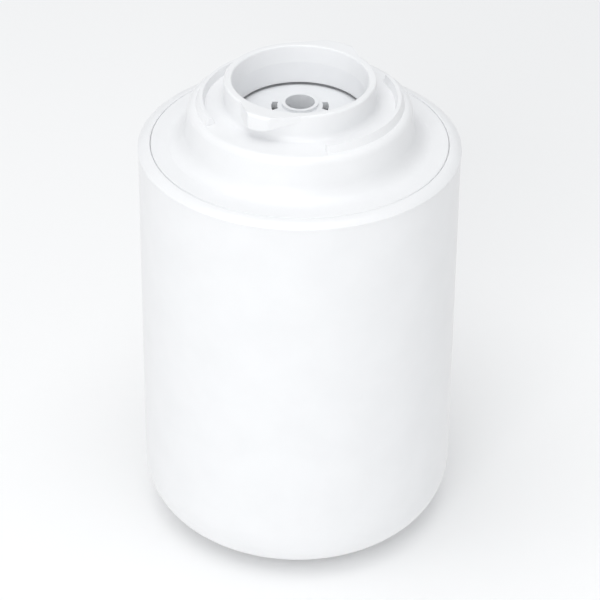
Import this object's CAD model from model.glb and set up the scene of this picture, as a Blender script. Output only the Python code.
import math

import bpy
from mathutils import Matrix, Vector


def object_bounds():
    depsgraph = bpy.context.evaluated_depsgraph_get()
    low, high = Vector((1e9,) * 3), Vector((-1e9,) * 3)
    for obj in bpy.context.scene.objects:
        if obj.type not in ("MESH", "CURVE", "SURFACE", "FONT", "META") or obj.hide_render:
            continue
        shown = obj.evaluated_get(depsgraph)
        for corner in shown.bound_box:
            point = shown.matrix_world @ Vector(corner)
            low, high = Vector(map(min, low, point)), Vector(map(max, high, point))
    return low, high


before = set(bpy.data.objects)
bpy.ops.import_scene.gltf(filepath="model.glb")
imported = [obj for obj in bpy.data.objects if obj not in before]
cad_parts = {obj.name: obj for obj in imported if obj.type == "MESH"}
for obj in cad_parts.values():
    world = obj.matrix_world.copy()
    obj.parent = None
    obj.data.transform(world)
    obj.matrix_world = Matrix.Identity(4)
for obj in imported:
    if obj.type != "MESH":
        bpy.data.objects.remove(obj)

# Sizes are in metres and angles in degrees unless a name says otherwise.
PHOTO_PX = 600
SENSOR_MM = 36.0

# The camera of the photograph, aimed at the neck's axis
FOCAL_PX = 3000.0
CAMERA_DISTANCE = 0.8223
CAMERA_PITCH = 33.165
CAMERA_ROLL = 0.518
CAMERA_AIM_Z = 0.0647
OBJECT_SHIFT_PX = -1.72

# Linear colours
WHITE_PLASTIC = (0.86, 0.865, 0.875)
INSERT_PLASTIC = (0.84, 0.85, 0.865)
CAP_PLASTIC = (0.78, 0.81, 0.83)
NET_PLASTIC = (0.55, 0.68, 0.78)
CARBON = (0.018, 0.018, 0.019)
FLEECE = (0.85, 0.85, 0.81)
GLUE = (0.74, 0.66, 0.45)
RUBBER = (0.02, 0.02, 0.021)
FOAM = (0.16, 0.16, 0.17)
BACKGROUND_WHITE = (1.0, 1.0, 1.0)

MM = 0.001

cad_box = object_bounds()


# Node helpers

def new_material(name):
    """An empty node material with a Principled shader and its output."""
    material = bpy.data.materials.new(name)
    material.use_nodes = True
    nodes = material.node_tree.nodes
    nodes.clear()
    shader = nodes.new("ShaderNodeBsdfPrincipled")
    output = nodes.new("ShaderNodeOutputMaterial")
    material.node_tree.links.new(shader.outputs["BSDF"], output.inputs["Surface"])
    return material, shader


def noise(tree, scale, detail=3.0, roughness=0.55):
    """Noise over the object's own space, in waves per metre."""
    node = tree.nodes.new("ShaderNodeTexNoise")
    node.inputs["Scale"].default_value = scale
    node.inputs["Detail"].default_value = detail
    node.inputs["Roughness"].default_value = roughness
    place = tree.nodes.new("ShaderNodeTexCoord")
    tree.links.new(place.outputs["Object"], node.inputs["Vector"])
    return node.outputs["Fac"]


def ramp(tree, value, low, high, start=0.3, end=0.7):
    """A colour that runs from low to high as the value goes from start to end."""
    node = tree.nodes.new("ShaderNodeValToRGB")
    first, last = node.color_ramp.elements
    first.position = start
    last.position = end
    first.color = (*low, 1.0)
    last.color = (*high, 1.0)
    tree.links.new(value, node.inputs["Fac"])
    return node.outputs["Color"]


def spread(tree, value, low, high):
    """The value from 0 to 1 carried over to the range from low to high."""
    node = tree.nodes.new("ShaderNodeMapRange")
    node.inputs["To Min"].default_value = low
    node.inputs["To Max"].default_value = high
    tree.links.new(value, node.inputs["Value"])
    return node.outputs["Result"]


def bump(tree, value, height, strength=1.0, under=None):
    """A bump of that height in metres, laid over another bump if one is given."""
    node = tree.nodes.new("ShaderNodeBump")
    node.inputs["Strength"].default_value = strength
    node.inputs["Distance"].default_value = height
    tree.links.new(value, node.inputs["Height"])
    if under:
        tree.links.new(under, node.inputs["Normal"])
    return node.outputs["Normal"]


def shaded(colour, factor):
    """The colour made darker or lighter by a factor."""
    return tuple(min(1.0, channel * factor) for channel in colour)


def moulded_plastic(name, colour, roughness, grain=0.004 * MM, waves=0.02 * MM):
    """Moulded plastic: faint mottling, uneven gloss, a fine mould grain and shallow sink waves."""
    material, shader = new_material(name)
    tree = material.node_tree
    mottle = noise(tree, 90.0)
    tree.links.new(ramp(tree, mottle, shaded(colour, 0.985), shaded(colour, 1.01)), shader.inputs["Base Color"])
    cloud = noise(tree, 260.0, 4.0)
    tree.links.new(spread(tree, cloud, roughness * 0.85, roughness * 1.15), shader.inputs["Roughness"])
    sink = bump(tree, noise(tree, 45.0, 1.0), waves)
    tree.links.new(bump(tree, noise(tree, 3800.0, 2.0), grain, under=sink), shader.inputs["Normal"])
    shader.inputs["IOR"].default_value = 1.49
    return material


def carbon_block(name):
    """Sintered carbon: fine black grains with brighter facets and small pits."""
    material, shader = new_material(name)
    tree = material.node_tree
    cells = tree.nodes.new("ShaderNodeTexVoronoi")
    cells.inputs["Scale"].default_value = 1900.0
    place = tree.nodes.new("ShaderNodeTexCoord")
    tree.links.new(place.outputs["Object"], cells.inputs["Vector"])
    grains = cells.outputs["Distance"]
    tree.links.new(ramp(tree, grains, CARBON, shaded(CARBON, 2.4), 0.15, 0.6), shader.inputs["Base Color"])
    tree.links.new(spread(tree, noise(tree, 900.0), 0.6, 0.95), shader.inputs["Roughness"])
    pits = bump(tree, noise(tree, 500.0, 4.0), 0.3 * MM)
    tree.links.new(bump(tree, grains, 0.15 * MM, under=pits), shader.inputs["Normal"])
    return material


def felt(name):
    """Matted fibre: a stretched noise for the strands over a cloudy pile."""
    material, shader = new_material(name)
    tree = material.node_tree
    place = tree.nodes.new("ShaderNodeTexCoord")
    stretch = tree.nodes.new("ShaderNodeMapping")
    stretch.inputs["Scale"].default_value = (1.0, 1.0, 0.25)
    strands = tree.nodes.new("ShaderNodeTexNoise")
    strands.inputs["Scale"].default_value = 1500.0
    strands.inputs["Detail"].default_value = 5.0
    strands.inputs["Distortion"].default_value = 1.2
    tree.links.new(place.outputs["Object"], stretch.inputs["Vector"])
    tree.links.new(stretch.outputs["Vector"], strands.inputs["Vector"])
    fibre = strands.outputs["Fac"]
    tree.links.new(ramp(tree, fibre, shaded(FLEECE, 0.8), FLEECE), shader.inputs["Base Color"])
    shader.inputs["Roughness"].default_value = 0.95
    shader.inputs["Sheen Weight"].default_value = 0.3
    pile = bump(tree, noise(tree, 350.0), 0.2 * MM)
    tree.links.new(bump(tree, fibre, 0.12 * MM, under=pile), shader.inputs["Normal"])
    return material


def hot_melt(name):
    """Glue: waxy, slightly see-through amber with bubbles."""
    material, shader = new_material(name)
    tree = material.node_tree
    tree.links.new(ramp(tree, noise(tree, 300.0), shaded(GLUE, 0.85), shaded(GLUE, 1.1)), shader.inputs["Base Color"])
    tree.links.new(spread(tree, noise(tree, 700.0), 0.3, 0.5), shader.inputs["Roughness"])
    tree.links.new(bump(tree, noise(tree, 900.0, 1.0), 0.1 * MM), shader.inputs["Normal"])
    shader.inputs["Subsurface Weight"].default_value = 0.15
    shader.inputs["Subsurface Scale"].default_value = 1.0 * MM
    return material


def seal_rubber(name):
    """Greased rubber: near black, with a faint bloom."""
    material, shader = new_material(name)
    tree = material.node_tree
    tree.links.new(ramp(tree, noise(tree, 400.0), RUBBER, shaded(RUBBER, 1.8)), shader.inputs["Base Color"])
    tree.links.new(spread(tree, noise(tree, 1200.0), 0.3, 0.5), shader.inputs["Roughness"])
    tree.links.new(bump(tree, noise(tree, 5000.0), 0.01 * MM), shader.inputs["Normal"])
    return material


def open_foam(name):
    """Open foam: pores as dark cells between pale struts."""
    material, shader = new_material(name)
    tree = material.node_tree
    cells = tree.nodes.new("ShaderNodeTexVoronoi")
    cells.inputs["Scale"].default_value = 1300.0
    place = tree.nodes.new("ShaderNodeTexCoord")
    tree.links.new(place.outputs["Object"], cells.inputs["Vector"])
    pores = cells.outputs["Distance"]
    tree.links.new(ramp(tree, pores, shaded(FOAM, 0.4), shaded(FOAM, 1.3), 0.1, 0.6), shader.inputs["Base Color"])
    tree.links.new(bump(tree, pores, 0.5 * MM), shader.inputs["Normal"])
    shader.inputs["Roughness"].default_value = 0.95
    return material


def dress(node, material):
    """Gives a CAD node its material in every slot."""
    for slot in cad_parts[node].material_slots:
        slot.material = material


# Stage

def white_to_rays(name, seen, lit):
    """A white surface that camera, glossy and transmission rays see as plain white, and that is grey to the light."""
    material = bpy.data.materials.new(name)
    material.use_nodes = True
    tree = material.node_tree
    tree.nodes.clear()
    path = tree.nodes.new("ShaderNodeLightPath")
    either = tree.nodes.new("ShaderNodeMath")
    either.operation = "MAXIMUM"
    tree.links.new(path.outputs["Is Glossy Ray"], either.inputs[0])
    tree.links.new(path.outputs["Is Transmission Ray"], either.inputs[1])
    body = tree.nodes.new("ShaderNodeBsdfDiffuse")
    body.inputs["Color"].default_value = (lit, lit, lit, 1.0)
    glow = tree.nodes.new("ShaderNodeEmission")
    glow.inputs["Color"].default_value = (*BACKGROUND_WHITE, 1.0)
    glow.inputs["Strength"].default_value = seen
    mix = tree.nodes.new("ShaderNodeMixShader")
    output = tree.nodes.new("ShaderNodeOutputMaterial")
    tree.links.new(either.outputs["Value"], mix.inputs["Fac"])
    tree.links.new(body.outputs["BSDF"], mix.inputs[1])
    tree.links.new(glow.outputs["Emission"], mix.inputs[2])
    tree.links.new(mix.outputs["Shader"], output.inputs["Surface"])
    return material


def make_floor():
    """A wide pale floor under the base, white to the camera apart from the object's shadow."""
    size = 6.0
    bpy.ops.mesh.primitive_plane_add(size=size, location=(0.0, 0.0, cad_box[0].z - 0.02 * MM))
    floor = bpy.context.object
    floor.name = "floor"
    floor.data.materials.append(white_to_rays("floor_white", 1.0, 0.97))
    return floor


def make_world(strength):
    """White surroundings: plain white to camera and glossy rays, and a soft grey-blue light to the object."""
    world = bpy.data.worlds.new("studio")
    bpy.context.scene.world = world
    world.use_nodes = True
    tree = world.node_tree
    tree.nodes.clear()
    path = tree.nodes.new("ShaderNodeLightPath")
    either = tree.nodes.new("ShaderNodeMath")
    either.operation = "MAXIMUM"
    tree.links.new(path.outputs["Is Camera Ray"], either.inputs[0])
    tree.links.new(path.outputs["Is Transmission Ray"], either.inputs[1])
    light = tree.nodes.new("ShaderNodeBackground")
    light.inputs["Color"].default_value = (0.97, 0.985, 1.0, 1.0)
    light.inputs["Strength"].default_value = strength
    seen = tree.nodes.new("ShaderNodeBackground")
    seen.inputs["Color"].default_value = (*BACKGROUND_WHITE, 1.0)
    seen.inputs["Strength"].default_value = 1.0
    mix = tree.nodes.new("ShaderNodeMixShader")
    output = tree.nodes.new("ShaderNodeOutputWorld")
    tree.links.new(either.outputs["Value"], mix.inputs["Fac"])
    tree.links.new(light.outputs["Background"], mix.inputs[1])
    tree.links.new(seen.outputs["Background"], mix.inputs[2])
    tree.links.new(mix.outputs["Shader"], output.inputs["Surface"])


def softbox(name, place, aim, width, height, watts, colour=(1.0, 1.0, 1.0)):
    """A rectangular lamp at a place, turned towards an aim."""
    lamp = bpy.data.lights.new(name, "AREA")
    lamp.shape = "RECTANGLE"
    lamp.size = width
    lamp.size_y = height
    lamp.energy = watts
    lamp.color = colour
    holder = bpy.data.objects.new(name, lamp)
    bpy.context.collection.objects.link(holder)
    holder.location = place
    holder.rotation_euler = (Vector(aim) - Vector(place)).to_track_quat("-Z", "Y").to_euler()
    return holder


def make_camera():
    """The photograph's camera: a long lens that looks down on the cartridge from the front."""
    data = bpy.data.cameras.new("camera")
    data.sensor_width = SENSOR_MM
    data.lens = FOCAL_PX / PHOTO_PX * SENSOR_MM
    data.shift_x = -OBJECT_SHIFT_PX / PHOTO_PX
    data.clip_start = 0.01
    camera = bpy.data.objects.new("camera", data)
    bpy.context.collection.objects.link(camera)
    pitch = math.radians(CAMERA_PITCH)
    place = Vector((0.0, -math.cos(pitch), math.sin(pitch))) * CAMERA_DISTANCE + Vector((0.0, 0.0, CAMERA_AIM_Z))
    tilt = Matrix.Rotation(math.pi / 2 - pitch, 4, "X")
    roll = Matrix.Rotation(math.radians(CAMERA_ROLL), 4, "Z")
    camera.matrix_world = Matrix.Translation(place) @ tilt @ roll
    bpy.context.scene.camera = camera


make_camera()
bpy.context.scene.view_settings.view_transform = "Standard"

housing = moulded_plastic("housing_white", WHITE_PLASTIC, 0.33)
insert = moulded_plastic("insert_white", INSERT_PLASTIC, 0.38)
cap = moulded_plastic("cap_white", CAP_PLASTIC, 0.5, grain=0.01 * MM)
net = moulded_plastic("net_blue", NET_PLASTIC, 0.45, grain=0.01 * MM)
felt_white = felt("felt_white")
glue = hot_melt("hot_melt")
rubber = seal_rubber("seal_rubber")

LOOKS = {
    "sump": housing,
    "head": housing,
    "inlet_insert": insert,
    "stem_ring_upper": rubber,
    "stem_ring_lower": rubber,
    "top_cap": cap,
    "bottom_cap": cap,
    "core_tube": cap,
    "top_bond": glue,
    "bottom_bond": glue,
    "carbon_block": carbon_block("carbon_black"),
    "core_fleece": felt_white,
    "sediment_wrap": felt_white,
    "outer_net": net,
    "base_pad": open_foam("foam_grey"),
}
for node, look in LOOKS.items():
    dress(node, look)

make_floor()
make_world(0.62)
softbox("top_box", (-0.1, -0.15, 1.1), (0.0, 0.0, 0.1), 0.9, 0.9, 4.5)
softbox("front_box", (-0.35, -1.3, 0.55), (0.0, 0.0, 0.06), 0.7, 0.9, 6.0)
